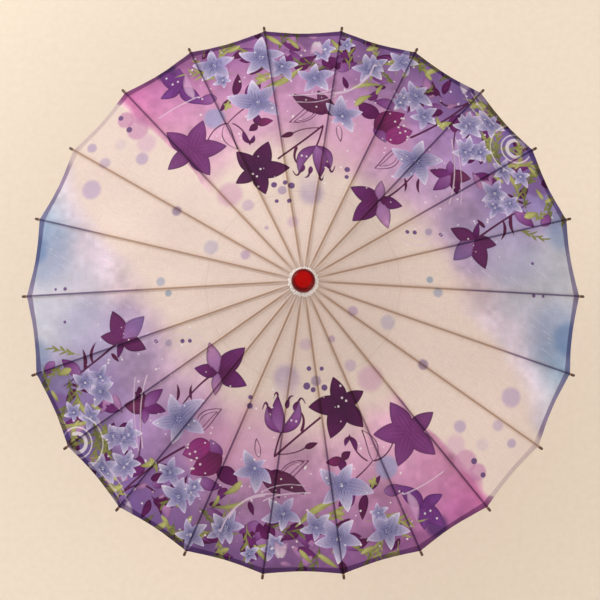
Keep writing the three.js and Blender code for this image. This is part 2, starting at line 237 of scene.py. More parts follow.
def split_bamboo(name, pale, deep, stained_from=None):
    """Bamboo whose fibres run outwards from the shaft, wherever the stick stands round it."""
    made, tree = finish_of(name)
    where = node(tree, "TexCoord").outputs["Object"]
    x, y, z = node(tree, "SeparateXYZ", {0: where}).outputs
    away = distance_out(tree, x, y)
    around = sum_of(tree, "ARCTAN2", y, x)
    across = sum_of(tree, "MULTIPLY", around, away)
    laid = node(tree, "CombineXYZ", {0: away, 1: across, 2: z}).outputs[0]
    fibre = grain(tree, laid, (12, 900, 300), 1.6, 4.0)
    cloudy = grain(tree, laid, (14, 60, 14), 1.0, 2.0)
    colour = blended(tree, fibre, deep, pale)
    colour = blended(tree, ranged(tree, cloudy, 0.45, 0.75, 0.0, 0.35), colour, tone(150, 104, 58))
    if stained_from:
        end = ranged(tree, away, stained_from - 0.0015, stained_from + 0.001)
        colour = blended(tree, end, colour, blended(tree, fibre, tone(58, 34, 28), tone(96, 62, 46)))
    surface(tree, {
        "Base Color": colour,
        "Roughness": rough(tree, fibre, 0.42, 0.62),
        "Specular IOR Level": 0.45,
        "Normal": raised(tree, fibre, 0.00025, 0.6),
    })
    return made


def dress(node_name, material):
    """Gives a CAD node's object its finish."""
    piece = frame["nodes"][node_name]
    if not piece.material_slots:
        piece.data.materials.append(material)
    for slot in piece.material_slots:
        slot.material = material


cover_edge_radius = pivot_radius + (rib_length - bare_tip) * math.sin(open_lean)
rib_bamboo = split_bamboo("rib_bamboo", tone(206, 170, 116), tone(170, 126, 76), cover_edge_radius + 0.0035)
strut_bamboo = split_bamboo("strut_bamboo", tone(214, 180, 126), tone(176, 134, 84))
for number in range(1, rib_count + 1):
    dress(f"rib_{number:02d}", rib_bamboo)
    dress(f"strut_{number:02d}", strut_bamboo)


# ---- Printed cover ----
# One thin sheet of oiled, woven paper-cloth, pasted over the ribs and printed with flowers. Its hem is
# turned under and pasted. It is made here as a strip pasted on each rib and two half panels beside it,
# which meet edge to edge when it is open and ride on their rib.

paste_height = 0.0064  # of the cover above a rib's pivot line
strip_half = 0.0028  # half the width that is pasted to a rib
crown_length = -0.005  # where the strips start, under the crown membrane
panel_start_radius = 0.0208
hem_depth = 0.0065
hem_gap = 0.0003
edge_sag = 0.0028  # how far the hem curves in between two ribs
panel_sag = 0.0022  # how far a panel sinks between two ribs
rib_step = 0.0012  # how far the cloth drops beside the ridge over a rib
ridge_half = 0.0021
ripple_depth = 0.0007
crown_rows = 6
cover_rows = 244
half_columns = 30
strip_columns = 8
half_pitch = rib_pitch / 2
cover_length = rib_length - bare_tip


def radius_at(length):
    return pivot_radius + length * math.sin(open_lean) + paste_height * math.cos(open_lean)


def height_at(length):
    return hub_height - length * math.cos(open_lean) + paste_height * math.sin(open_lean)


panel_start = (panel_start_radius - radius_at(0)) / math.sin(open_lean)
row_lengths = np.concatenate([
    np.linspace(crown_length, panel_start, crown_rows, endpoint=False),
    np.linspace(panel_start, cover_length, cover_rows + 1),
])
hem_turn = [(0.00012, -0.4), (0.0, -1.0), (-0.2, -1.0), (-0.6, -1.0), (-1.0, -1.0)]


def cloud(x, y, size, seed):
    """Smooth patches between 0 and 1, about size across."""
    lattice = np.random.default_rng(seed).random((64, 64))
    u, v = x / size, y / size
    i, j = np.floor(u).astype(int), np.floor(v).astype(int)
    s, t = u - i, v - j
    s, t = s * s * (3 - 2 * s), t * t * (3 - 2 * t)
    near = lattice[i % 64, j % 64] * (1 - s) + lattice[(i + 1) % 64, j % 64] * s
    far = lattice[i % 64, (j + 1) % 64] * (1 - s) + lattice[(i + 1) % 64, (j + 1) % 64] * s
    return near * (1 - t) + far * t


def cover_points(rows, share, turn):
    """Points of the cover round a rib: rows along it, share of the way to the middle of the next panel."""
    hem_rows = np.clip(rows - (len(row_lengths) - 1), 0, len(hem_turn))
    on_hem = hem_rows > 0
    turned_in = np.array([(0.0, 0.0), *hem_turn])[hem_rows]
    length = row_lengths[np.minimum(rows, len(row_lengths) - 1)]
    open_half = radius_at(length) * math.sin(half_pitch) * math.cos(half_pitch)
    strip_share = np.minimum(strip_half / open_half, 1)
    side, fraction = np.sign(share), np.abs(share)
    part = np.where(fraction > 1, strip_share + (1 - strip_share) * (fraction - 1), strip_share * fraction)
    pulled = edge_sag * (1 - (1 - part) ** 2) * (length / cover_length) ** 4
    length = length - pulled + np.where(turned_in[:, 0] > 0, turned_in[:, 0], turned_in[:, 0] * hem_depth)
    radius = radius_at(length)
    across = radius * part * math.sin(half_pitch) * math.cos(half_pitch)
    beside = np.clip((across - ridge_half) / 0.0011, 0, 1)
    sunk = rib_step * beside * beside * (3 - 2 * beside)
    sunk = sunk + panel_sag * np.sin(part * math.pi / 2) ** 2 * np.clip(length / cover_length, 0, 1)
    inward = radius * (1 - part * math.sin(half_pitch) ** 2)
    c, s = math.cos(turn), math.sin(turn)
    x, y = inward * c - side * across * s, inward * s + side * across * c
    ripple = cloud(x, y, 0.021, 4) + 0.6 * cloud(x, y, 0.009, 5) - 0.8
    drop = sunk - ripple_depth * ripple * beside - turned_in[:, 1] * hem_gap
    lean = math.cos(open_lean)
    points = np.stack([x - drop * lean * c, y - drop * lean * s,
                       height_at(length) - drop * math.sin(open_lean)], 1)
    return points, side * across, length, on_hem


def cover_piece(name, columns, skip_rows, low, high, turn):
    """One piece of the cover from a flat grid, laid on the open ribs."""
    shape = bmesh.new()
    rows = len(row_lengths) - 1 - skip_rows + len(hem_turn)
    bmesh.ops.create_grid(shape, x_segments=columns, y_segments=rows, size=1)
    piece = object_from(name, shape)
    flat = np.zeros(len(piece.data.vertices) * 3)
    piece.data.vertices.foreach_get("co", flat)
    flat = (flat.reshape(-1, 3) + 1) / 2  # the grid runs from -1 to 1
    row = np.rint(flat[:, 1] * rows).astype(int) + skip_rows
    share = high + (low - high) * flat[:, 0]
    points, across, along, on_hem = cover_points(row, share, turn)
    piece.data.vertices.foreach_set("co", points.ravel())
    piece.data.update()
    cut = piece.data.uv_layers.new(name="cloth")
    corners = np.zeros(len(piece.data.loops), int)
    piece.data.loops.foreach_get("vertex_index", corners)
    cut.data.foreach_set("uv", np.stack([across, along], 1)[corners].ravel())
    return piece, points, across, along, on_hem


cover = []
for number, joint in enumerate(rib_joints, 1):
    place = joint["pos_m"]
    turn = math.atan2(place[1], place[0])
    parts = {
        f"cover_strip_{number:02d}": (strip_columns, 0, -1.0, 1.0),
        f"cover_left_{number:02d}": (half_columns, crown_rows, 1.0, 2.0),
        f"cover_right_{number:02d}": (half_columns, crown_rows, -2.0, -1.0),
    }
    for name, (columns, skip_rows, low, high) in parts.items():
        made = cover_piece(name, columns, skip_rows, low, high, turn)
        cover.append((made, joint, turn))


# The print. It is drawn in plan, in millimetres from the crown, as one half that is printed twice, the
# second time turned half round. Washes lie under dark petals, leaves, pale flowers and white strokes.

print_centre = np.array((-6.0, 2.5))
plan = np.concatenate([points[:, :2] for (piece, points, *rest), joint, turn in cover]) * 1000
bare_cloth = np.array((230, 214, 206.0))
reach = 5.0  # how far a drawn shape is felt outside its outline


def new_layer():
    return {"depth": np.full(len(plan), -reach), "ink": np.tile(bare_cloth, (len(plan), 1))}


layers = {name: new_layer() for name in ("dark", "leaf", "pale", "white")}
halves = [plan, 2 * print_centre - plan]


def lay(layer, near, depth, ink):
    """Puts a shape on a layer where it lies deeper than what is drawn there."""
    better = depth > layers[layer]["depth"][near]
    layers[layer]["depth"][near[better]] = depth[better]
    layers[layer]["ink"][near[better]] = np.clip(ink[better], 0, 255)


def petal(layer, base, tip, width, inner, outer, bend=0.0, vein=0.0, edge=0.28, line=0.0):
    """A pointed petal or leaf, or with line its outline only. bend carries its middle sideways."""
    base, tip = np.array(base, float), np.array(tip, float)
    length = np.hypot(*(tip - base))
    ahead = (tip - base) / length
    for spots in halves:
        away = spots - base
        near = np.flatnonzero(np.hypot(*(away - (tip - base) / 2).T) < length * 0.5 + width + reach)
        t = away[near] @ ahead / length
        held = np.clip(t, 0, 1)
        s = away[near] @ (-ahead[1], ahead[0]) - bend * length * 4 * held * (1 - held)
        half = 0.5 * width * np.sin(math.pi * held ** 0.75) ** 0.85
        depth = np.where(t == held, half - np.abs(s), -np.hypot((t - held) * length, s))
        share = held[:, None]
        ink = np.array(inner) * (1 - share) + np.array(outer) * share
        ink = ink * (1 - edge * np.exp(-np.clip(depth, 0, 9) / 1.3))[:, None]
        across = s / np.maximum(half, 0.6)
        ribs = np.cos(across * 2.5 * math.pi) ** 16 * np.clip(1.2 - np.abs(across), 0, 1)
        ink = ink + vein * (ribs * np.clip(1.15 - held, 0, 1))[:, None] * 255
        if line:
            depth = line / 2 - np.abs(depth)
        depth = np.clip(depth, -reach, reach)
        lay(layer, near, depth, ink)


def stroke(layer, start, middle, end, width, ink, taper=0.0):
    """A brush line through three points."""
    start, middle, end = (np.array(p, float) for p in (start, middle, end))
    steps = np.linspace(0, 1, 25)[:, None]
    handle = 2 * middle - (start + end) / 2
    route = start * (1 - steps) ** 2 + handle * 2 * steps * (1 - steps) + end * steps ** 2
    size = np.ptp(route, axis=0).max() / 2
    for spots in halves:
        near = np.flatnonzero(np.hypot(*(spots - route.mean(0)).T) < size * 1.6 + width + reach)
        depth = np.full(len(near), -reach)
        for k, (a, b) in enumerate(zip(route[:-1], route[1:])):
            along = np.clip((spots[near] - a) @ (b - a) / ((b - a) @ (b - a)), 0, 1)
            gone = np.hypot(*(spots[near] - a - along[:, None] * (b - a)).T)
            half = width / 2 * (1 - taper * k / 24)
            depth = np.maximum(depth, half - gone)
        lay(layer, near, np.clip(depth, -reach, reach), np.tile(np.array(ink, float), (len(near), 1)))


def spot(layer, centre, radius, ink):
    for spots in halves:
        near = np.flatnonzero(np.hypot(*(spots - centre).T) < radius + reach)
        gone = np.hypot(*(spots[near] - centre).T)
        lay(layer, near, radius - gone, np.tile(np.array(ink, float), (len(near), 1)))


def star(layer, centre, tips, width, inner, outer, vein=0.05, edge=0.28, bend=0.0):
    """A flower of pointed petals that meet in its centre."""
    for tip in tips:
        length = math.dist(centre, tip)
        petal(layer, centre, tip, width * length, inner, outer, bend, vein, edge)


plum, violet, magenta = (84, 20, 78), (110, 46, 118), (140, 44, 116)
grape, mauve, orchid = (102, 36, 98), (150, 104, 164), (192, 140, 188)
umber, ink_line = (88, 30, 70), (84, 34, 72)
ice, lilac, frost = (214, 206, 232), (202, 190, 222), (244, 238, 246)
moss, olive, lime = (104, 108, 66), (150, 152, 88), (196, 196, 128)

# the dark star flowers that face the bare cloth
star("dark", (109, 127), [(68, 146), (70, 93), (144, 120)], 0.56, plum, violet, 0.05)
star("dark", (109, 127), [(114, 159), (122, 84)], 0.5, mauve, orchid, 0.06, 0.5)
star("dark", (251, 75), [(215, 91), (285, 70), (267, 33)], 0.58, grape, (96, 40, 90), 0.06)
star("dark", (251, 75), [(218, 43)], 0.58, mauve, (122, 96, 154), 0.06)
star("dark", (251, 75), [(258, 103)], 0.35, plum, violet)
star("dark", (153, -205), [(124, -163), (188, -176), (192, -237), (137, -254), (100, -209)], 0.56,
     (108, 44, 108), (122, 62, 128), 0.09)
star("dark", (55, -167), [(42, -129), (86, -148), (86, -199), (39, -215), (7, -171)], 0.58,
     (62, 10, 62), (88, 24, 82), 0.05)
star("dark", (174, -310), [(139, -281), (204, -294), (208, -343), (178, -346)], 0.52,
     (92, 36, 110), (116, 62, 138), 0.09)

# the bell flower, its stem and the buds beside it
petal("dark", (19, 212), (-6, 167), 17, violet, mauve, -0.16, 0.08, 0.45)
petal("dark", (19, 212), (24, 159), 20, mauve, violet, 0.06, 0.1, 0.45)
petal("dark", (19, 212), (39, 173), 12, violet, mauve, 0.2, 0.08, 0.45)
for tip, curl in (
    ((-6, 167), (-15, 171)), ((24, 159), (30, 163)), ((39, 173), (46, 179)), ((8, 164), (2, 161)),
):
    petal("dark", (0.3 * 19 + 0.7 * tip[0], 0.3 * 212 + 0.7 * tip[1]), tip, 7, violet, plum, 0.06)
    stroke("dark", tip, (0.55 * tip[0] + 0.45 * curl[0], tip[1] - 3), curl, 3.2, plum, 0.6)
stroke("dark", (-10, 208), (-12, 190), (-2, 178), 4.5, umber, 0.7)
stroke("dark", (19, 211), (24, 224), (29, 243), 2.6, ink_line)
stroke("dark", (-36, 191), (-4, 217), (29, 245), 3.0, umber)
petal("dark", (-14, 233), (-33, 226), 9, umber, umber)
stroke("dark", (-16, 232), (2, 240), (27, 242), 1.8, ink_line)
petal("dark", (52, 246), (55, 220), 8, orchid, ink_line, 0.0, 0.0, 0.4, 1.5)
petal("dark", (66, -212), (77, -233), 8, plum, violet, 0.1)
petal("dark", (66, -212), (60, -226), 7, plum, violet, -0.1)
stroke("dark", (66, -210), (76, -232), (92, -246), 2.2, ink_line)
petal("dark", (102, -246), (84, -203), 15, orchid, ink_line, -0.12, 0.0, 0.4, 1.6)

# the brown and magenta petals under the pale flowers
for base, tip, width, inner, outer in (
    ((40, 270), (-18, 300), 24, umber, (96, 50, 84)),
    ((40, 270), (6, 283), 20, plum, umber),
    ((48, 262), (22, 306), 22, umber, (104, 58, 96)),
    ((112, 262), (82, 288), 25, plum, grape),
    ((106, 240), (152, 270), 34, umber, magenta),
    ((122, 226), (163, 242), 32, magenta, (146, 66, 132)),
    ((106, 246), (122, 220), 18, violet, mauve),
    ((219, 175), (186, 180), 17, violet, grape),
    ((219, 175), (190, 148), 19, mauve, violet),
    ((219, 175), (226, 143), 17, umber, plum),
    ((216, 172), (249, 170), 22, umber, (112, 52, 96)),
    ((219, 175), (219, 198), 13, violet, mauve),
    ((56, -244), (32, -249), 14, umber, magenta),
    ((56, -244), (68, -233), 12, umber, plum),
    ((56, -244), (54, -260), 13, plum, grape),
):
    petal("dark", base, tip, width, inner, outer, 0.05, 0.05)
petal("dark", (22, 284), (-20, 251), 19, orchid, magenta, 0.1, 0.0, 0.4, 1.6)
petal("dark", (20, 280), (-13, 253), 10, magenta, magenta, 0.1, 0.0, 0.4, 1.2)
petal("dark", (140, 210), (105, 178), 20, orchid, magenta, 0.12, 0.0, 0.4, 1.6)
petal("dark", (138, 206), (111, 182), 10, magenta, magenta, 0.12, 0.0, 0.4, 1.2)

# stems with their narrow leaves
for start, middle, end, width in (
    ((118, 130), (140, 147), (161, 170), 3.0),
    ((258, 80), (289, 103), (318, 123), 3.4),
    ((318, 123), (330, 133), (342, 140), 2.4),
    ((160, 231), (220, 268), (275, 316), 3.4),
    ((206, 295), (232, 286), (262, 306), 3.0),
    ((167, 268), (190, 256), (212, 262), 2.6),
    ((215, 335), (214, 352), (226, 366), 3.0),
    ((229, 344), (236, 352), (233, 366), 2.4),
    ((232, 350), (250, 336), (276, 318), 4.2),
    ((232, 262), (224, 206), (232, 152), 2.4),
    ((102, -246), (120, -236), (132, -212), 2.4),
    ((70, -276), (88, -260), (100, -246), 2.2),
):
    stroke("dark", start, middle, end, width, ink_line, 0.3)
for base, tip, width, bend in (
    ((148, 165), (147, 141), 4, 0.1), ((170, 166), (170, 140), 4.5, -0.1),
    ((296, 110), (290, 76), 5, 0.16), ((310, 120), (313, 86), 6, -0.1),
    ((180, 312), (176, 276), 6, 0.08), ((160, 298), (155, 270), 5, 0.1),
    ((196, 330), (212, 300), 5, -0.1), ((268, 95), (256, 108), 6, 0.0),
    ((336, 138), (314, 146), 4, 0.1), ((300, 150), (322, 140), 4, 0.1),
):
    petal("dark", base, tip, width, umber, umber, bend, 0.0, 0.1)

# pale five-petalled flowers

def bluebell(centre, tips):
    """A pale flower with bluish veins, a dark heart and a white eye."""
    centre = np.array(centre, float)
    for k, tip in enumerate(tips):
        tip = np.array(tip, float)
        reach_out = math.dist(centre, tip)
        outer = ice if k % 2 else lilac
        petal("pale", centre, tip, 0.5 * reach_out, (112, 112, 162), outer, 0.05, -0.24, -0.16)
        stroke("pale", centre, centre * 0.7 + tip * 0.3, centre * 0.42 + tip * 0.58, 1.7, (84, 92, 140), 0.7)
    for k in range(5):
        angle = 1.3 * k
        spot("white", centre + 0.07 * reach_out * np.array((math.sin(angle), math.cos(angle))), 0.8, frost)


for centre, tips in (
    ((58, 262), [(34, 284), (57, 298), (89, 270), (73, 235), (42, 250)]),
    ((167, 192), [(130, 212), (178, 227), (208, 196), (179, 155), (131, 164)]),
    ((250, 217), [(229, 232), (251, 241), (276, 224), (267, 199), (236, 196)]),
    ((17, 327), [(-9, 339), (20, 353), (49, 336), (38, 305), (2, 304)]),
    ((100, 347), [(73, 346), (95, 372), (126, 359), (119, 326), (86, 322)]),
    ((55, -281), [(23, -258), (71, -250), (103, -292), (65, -320), (28, -308)]),
    ((52, -358), [(28, -327), (73, -331), (86, -367), (51, -396), (16, -365)]),
    ((123, -347), [(100, -324), (141, -320), (157, -348), (129, -375), (93, -360)]),
    ((285, 128), [(268, 140), (300, 146), (306, 120), (276, 110)]),
):
    bluebell(centre, tips)

# the white crescent, the rings round it and the white arcs
for radius, width, start, end in ((14, 5.5, 20, 290), (23, 2.2, 60, 330), (40, 1.8, 70, 250)):
    for first in range(start, end, 45):
        last = min(first + 45, end)
        a, m, b = (math.radians(angle) for angle in (first, (first + last) / 2, last))
        ring = [(322 + radius * math.cos(angle), 224 + radius * math.sin(angle)) for angle in (a, m, b)]
        stroke("white", *ring, width, frost)
for start, middle, end, width in (
    ((222, 232), (224, 176), (214, 128), 2.0),
    ((228, 236), (234, 180), (232, 130), 1.6),
    ((44, 301), (84, 316), (108, 352), 2.2),
    ((20, 300), (66, 304), (96, 334), 1.8),
    ((-22, 297), (20, 300), (46, 309), 1.8),
    ((-14, 287), (20, 286), (48, 296), 1.5),
    ((146, -294), (176, -280), (204, -261), 2.0),
    ((120, 96), (160, 62), (204, 84), 1.3),
    ((132, 98), (164, 72), (196, 92), 1.1),
    ((290, 262), (262, 300), (252, 330), 1.6),
    ((283, 250), (256, 286), (246, 312), 1.4),
):
    stroke("white", start, middle, end, width, (226, 206, 228))
petal("white", (250, 340), (244, 308), 17, frost, (226, 214, 234))
petal("white", (262, 322), (282, 292), 15, frost, (226, 214, 234))
petal("white", (20, 392), (10, 368), 12, frost, orchid, 0.1)
petal("white", (24, 392), (30, 366), 12, frost, orchid, -0.1)
petal("white", (152, -292), (166, -338), 14, (214, 180, 214), (196, 140, 196), 0.08)

# leaf sprigs, and the tangle of leaves and petals that fills the rim
for base, tip, width, bend in (
    ((72, 309), (120, 316), 7, 0.1), ((77, 280), (104, 299), 10, 0.1), ((-52, 310), (-2, 346), 8, -0.08),
    ((110, 300), (122, 318), 6, 0.1), ((136, 342), (152, 368), 7, 0.1), ((150, 330), (158, 352), 7, -0.1),
    ((186, 338), (214, 350), 9, 0.1), ((196, 330), (186, 352), 7, 0.1), ((160, 318), (184, 300), 8, 0.1),
    ((204, 250), (226, 258), 9, 0.1), ((212, 246), (200, 270), 7, 0.1), ((252, 286), (286, 292), 9, 0.1),
    ((262, 280), (270, 252), 8, 0.1), ((270, 288), (288, 298), 7, 0.0), ((288, 188), (354, 198), 6, 0.06),
    ((300, 186), (324, 148), 7, 0.1), ((318, 190), (330, 222), 7, -0.1), ((340, 196), (354, 178), 6, 0.1),
    ((280, 144), (270, 162), 9, 0.0), ((282, 142), (298, 150), 8, 0.0), ((330, 116), (352, 124), 11, 0.0),
    ((362, 146), (350, 164), 6, 0.0), ((364, 142), (384, 152), 7, 0.0), ((300, 168), (282, 178), 6, 0.0),
    ((-12, -342), (52, -303), 6, 0.05), ((6, -348), (30, -344), 8, 0.0), ((44, -318), (62, -324), 8, 0.0),
    ((84, -381), (112, -371), 7, 0.1), ((94, -274), (108, -280), 7, 0.0), ((104, -268), (98, -288), 6, 0.0),
    ((60, 372), (40, 398), 7, 0.0), ((28, 372), (62, 376), 6, 0.0), ((96, 378), (118, 384), 7, 0.0),
    ((140, -378), (116, -386), 7, 0.0), ((20, -380), (52, -402), 8, 0.0), ((-6, -374), (14, -396), 7, 0.0),
):
    petal("leaf", base, tip, width, lime, olive, bend, 0.05, 0.2)
chance = np.random.default_rng(22)
undergrowth_start = 296


def heading_to(angle):
    """The direction at an angle clockwise from +Y."""
    return np.array((math.sin(angle), math.cos(angle)))


def on_rim(low, high, nearest, furthest):
    """A chance place in the printed band, and its bearing."""
    bearing = math.radians(chance.uniform(low, high))
    return heading_to(bearing) * (furthest - (furthest - nearest) * chance.random() ** 1.3), bearing


for k in range(84):
    base, bearing = on_rim(-24, 74, 306, 402)
    heading = bearing + chance.uniform(-2.4, 2.4)
    length = chance.uniform(18, 38)
    tip = base + length * heading_to(heading)
    inner, outer = ((plum, umber), (grape, violet), (mauve, violet), (plum, grape), (orchid, mauve))[k % 5]
    if math.hypot(*tip) > undergrowth_start:
        width = length * chance.uniform(0.36, 0.6)
        petal("dark", base, tip, width, inner, outer, chance.uniform(-0.12, 0.12), 0.05)
for k in range(20):
    centre, bearing = on_rim(-22, 74, 318, 392)
    size = chance.uniform(16, 29)
    turned_by = chance.uniform(0, 1.2)
    angles = [turned_by + 2 * math.pi * petal_number / 5 for petal_number in range(5)]
    bluebell(centre, [centre + size * chance.uniform(0.75, 1.1) * heading_to(a) for a in angles])
for k in range(60):
    root, bearing = on_rim(-24, 76, 322, 402)
    heading = bearing + chance.uniform(-1.6, 1.6)
    stem = chance.uniform(30, 56)
    bow_out = chance.uniform(-0.16, 0.16) * stem
    ahead = heading_to(heading)
    beside = np.array((ahead[1], -ahead[0]))
    middle = root + ahead * stem / 2 + beside * bow_out
    dark_green, light_green = ((moss, olive), (olive, lime), (olive, olive))[k % 3]
    stroke("leaf", root, middle, root + ahead * stem, 1.4, dark_green, 0.4)
    for step in range(7):
        share = 0.16 + 0.13 * step
        joint_place = root + ahead * stem * share + beside * bow_out * 4 * share * (1 - share)
        side = 1 if step % 2 else -1
        leaf = stem * chance.uniform(0.26, 0.46)
        spread_out = heading + side * chance.uniform(0.3, 0.62)
        tip = joint_place + leaf * heading_to(spread_out)
        width = chance.uniform(2.4, 4.4)
        petal("leaf", joint_place, tip, width, dark_green, light_green, 0.08 * side, 0.0, 0.2)
for k in range(26):
    bearing, out = math.radians(chance.uniform(80, 112)), chance.uniform(240, 372)
    place = out * heading_to(bearing)
    streak = chance.uniform(14, 42) * np.array((0.8, -0.6))
    stroke("white", place, place + streak / 2 + 0.6, place + streak, 1.1, (206, 214, 232), 0.8)
for k in range(150):
    bearing = math.radians(chance.uniform(-30, 80))
    out = chance.uniform(150, 395) if k % 3 else chance.uniform(250, 400)
    spot("white", out * heading_to(bearing), chance.uniform(0.9, 1.8), frost)
for x, y in (
    (137, 256), (142, 247), (144, 238), (150, 250), (147, 262), (152, 241), (155, 232), (61, -162),
    (55, -158), (50, -170), (196, -329), (178, -322), (186, -318), (190, 288), (196, 264), (218, 250),
):
    spot("white", (x, y), 1.7, frost)
for x, y, radius in (
    (64, 174, 4.2), (63, 162, 3.2), (250, -246, 4.6), (264, -266, 4.0), (8, -118, 3.4), (26, -118, 3.0),
    (5, -142, 5.0), (30, -144, 4.4), (14, -147, 3.6), (150, 81, 3.0), (161, 81, 3.2), (200, 80, 3.0),
    (344, 118, 2.2), (341, 46, 2.4), (341, -3, 2.8), (356, -3, 2.2),
):
    spot("dark", (x, y), radius, (112, 84, 134))

# the washes: by bearing from +Y, where the colour starts, how soft it starts, and its three tints outwards
wash_keys = (
    (0, 170, 80, (226, 188, 208), (200, 152, 192), (128, 88, 142)),
    (20, 170, 70, (228, 192, 210), (194, 150, 194), (124, 90, 148)),
    (40, 134, 80, (222, 184, 204), (182, 146, 194), (116, 88, 152)),
    (58, 146, 90, (222, 192, 210), (178, 150, 196), (114, 96, 160)),
    (72, 172, 70, (212, 182, 210), (176, 158, 200), (142, 130, 180)),
    (80, 186, 60, (218, 190, 212), (206, 190, 214), (202, 206, 220)),
    (90, 196, 70, (222, 200, 214), (218, 202, 214), (212, 212, 220)),
    (100, 232, 60, (220, 200, 214), (212, 200, 216), (194, 202, 220)),
    (106, 280, 60, (218, 202, 216), (206, 198, 216), (146, 172, 200)),
    (113, 330, 60, (218, 204, 216), (214, 202, 214), (200, 200, 214)),
    (119, 372, 40, (220, 204, 212), (214, 200, 212), (206, 198, 212)),
    (125, 440, 30, (230, 214, 206), (230, 214, 206), (222, 208, 202)),
    (136, 440, 30, (230, 214, 206), (230, 214, 206), (222, 208, 202)),
    (138.5, 190, 46, (230, 186, 210), (216, 158, 192), (184, 108, 158)),
    (148, 190, 60, (226, 184, 208), (210, 156, 192), (166, 98, 152)),
    (158, 182, 70, (226, 186, 208), (204, 152, 190), (144, 92, 146)),
    (170, 174, 80, (226, 188, 208), (200, 152, 192), (130, 86, 142)),
    (180, 170, 80, (226, 188, 208), (200, 152, 192), (128, 88, 142)),
)
washes = np.array([[*onset, *near, *middle, *rim] for *onset, near, middle, rim in wash_keys], float)
shifted = plan - print_centre
spread = np.hypot(*shifted.T)
drift = cloud(*plan.T, 46, 1) + 0.5 * cloud(*plan.T, 17, 2) - 0.75
mottle = cloud(*plan.T, 60, 3) + 0.6 * cloud(*plan.T, 24, 6) + 0.5 * cloud(*plan.T, 8, 7) - 1.05
bearing = (np.degrees(np.arctan2(*shifted.T)) + 3.0 * drift) % 180
keyed = [np.interp(bearing, washes[:, 0], washes[:, column]) for column in range(1, washes.shape[1])]
start, soft = keyed[0], keyed[1]
outwards = np.clip((spread + 26 * drift - start) / (404 - start), 0, 1)
tints = [np.stack(keyed[first:first + 3], 1) for first in (2, 5, 8)]
low, high = np.clip(outwards * 2, 0, 1)[:, None], np.clip(outwards * 2 - 1, 0, 1)[:, None]
wash = (tints[0] * (1 - low) + tints[1] * low) * (1 - high) + tints[2] * high
cover_share = np.clip((spread + 26 * drift - start) / soft, 0, 1)
cover_share = (cover_share ** 2 * (3 - 2 * cover_share))[:, None]
ground = bare_cloth * (1 - cover_share) + wash * (1 + 0.2 * mottle[:, None]) * cover_share
for x, y, radius, softness, ink, strength in (
    (202, 290, 34, 0.25, (132, 98, 158), 0.55), (176, 276, 26, 0.3, (150, 116, 176), 0.5),
    (300, 150, 40, 0.6, (140, 116, 172), 0.4), (352, 176, 26, 0.3, (122, 84, 146), 0.6),
    (120, 236, 40, 0.8, (200, 140, 180), 0.5), (60, 215, 46, 0.9, (214, 168, 196), 0.5),
    (340, 10, 60, 0.9, (178, 186, 210), 0.5), (390, 96, 26, 0.8, (126, 146, 184), 0.6),
    (396, -66, 24, 0.7, (84, 122, 170), 0.75), (380, -60, 44, 0.9, (140, 158, 198), 0.5),
    (250, 52, 30, 0.9, (170, 150, 196), 0.5), (300, 60, 46, 0.9, (158, 158, 198), 0.4),
    (237, -246, 17, 0.3, (196, 134, 182), 0.6), (256, -262, 13, 0.3, (190, 124, 176), 0.6),
    (222, -222, 14, 0.8, (214, 176, 204), 0.6), (196, -340, 16, 0.6, (64, 36, 96), 0.7),
    (100, -250, 34, 0.9, (206, 160, 192), 0.4), (120, -256, 16, 0.5, (150, 160, 206), 0.7),
    (70, -38, 7, 0.6, (186, 160, 192), 0.7), (120, -52, 10, 0.6, (190, 180, 200), 0.7),
    (3, -85, 8, 0.8, (206, 180, 200), 0.7), (40, -77, 4, 0.5, (182, 156, 186), 0.7),
    (-24, -130, 17, 0.8, (176, 156, 192), 0.6), (67, -113, 8, 0.6, (198, 176, 200), 0.7),
    (95, -131, 18, 0.6, (212, 176, 196), 0.8), (172, -110, 7, 0.6, (140, 120, 156), 0.7),
    (305, -153, 14, 0.5, (192, 172, 202), 0.8), (228, -197, 9, 0.5, (188, 168, 198), 0.8),
    (285, -194, 8, 0.6, (196, 178, 200), 0.8), (307, -220, 7, 0.4, (182, 164, 194), 0.8),
    (182, 12, 4, 0.5, (150, 166, 186), 0.8), (194, -6, 6, 0.6, (170, 174, 194), 0.8),
    (182, 83, 5, 0.5, (160, 146, 178), 0.7), (262, -222, 9, 0.8, (214, 198, 206), 0.7),
    (10, 150, 16, 0.9, (214, 196, 206), 0.6), (-30, 140, 6, 0.5, (160, 140, 176), 0.7),
):
    for spots in halves:
        gone = np.hypot(*(spots - (x, y)).T) + 2.0 * drift
        share = np.clip((radius * (1 + softness / 2) - gone) / (radius * softness), 0, 1)
        share = (strength * share ** 2 * (3 - 2 * share))[:, None]
        ground = ground * (1 - share) + np.array(ink) * share
tint_drift = 1 + 0.05 * (cloud(*plan.T, 90, 8) - 0.5)
layers["wash"] = {"ink": np.clip(ground * tint_drift[:, None], 0, 255)}
for name in ("dark", "pale", "leaf"):
    layers[name]["ink"] = layers[name]["ink"] * (1 + 0.12 * mottle[:, None])

first = 0
for (piece, points, across, along, on_hem), joint, turn in cover:
    last = first + len(points)
    for name, layer in layers.items():
        held = piece.data.attributes.new(f"{name}_ink", "FLOAT_COLOR", "POINT")
        linear = np.ones((len(points), 4))
        linear[:, :3] = as_light(layer["ink"][first:last])
        held.data.foreach_set("color", linear.ravel())
        if "depth" in layer:
            held = piece.data.attributes.new(f"{name}_depth", "FLOAT", "POINT")
            held.data.foreach_set("value", layer["depth"][first:last].astype(float))
    held = piece.data.attributes.new("washed", "FLOAT", "POINT")
    held.data.foreach_set("value", cover_share[first:last, 0].astype(float))
    first = last


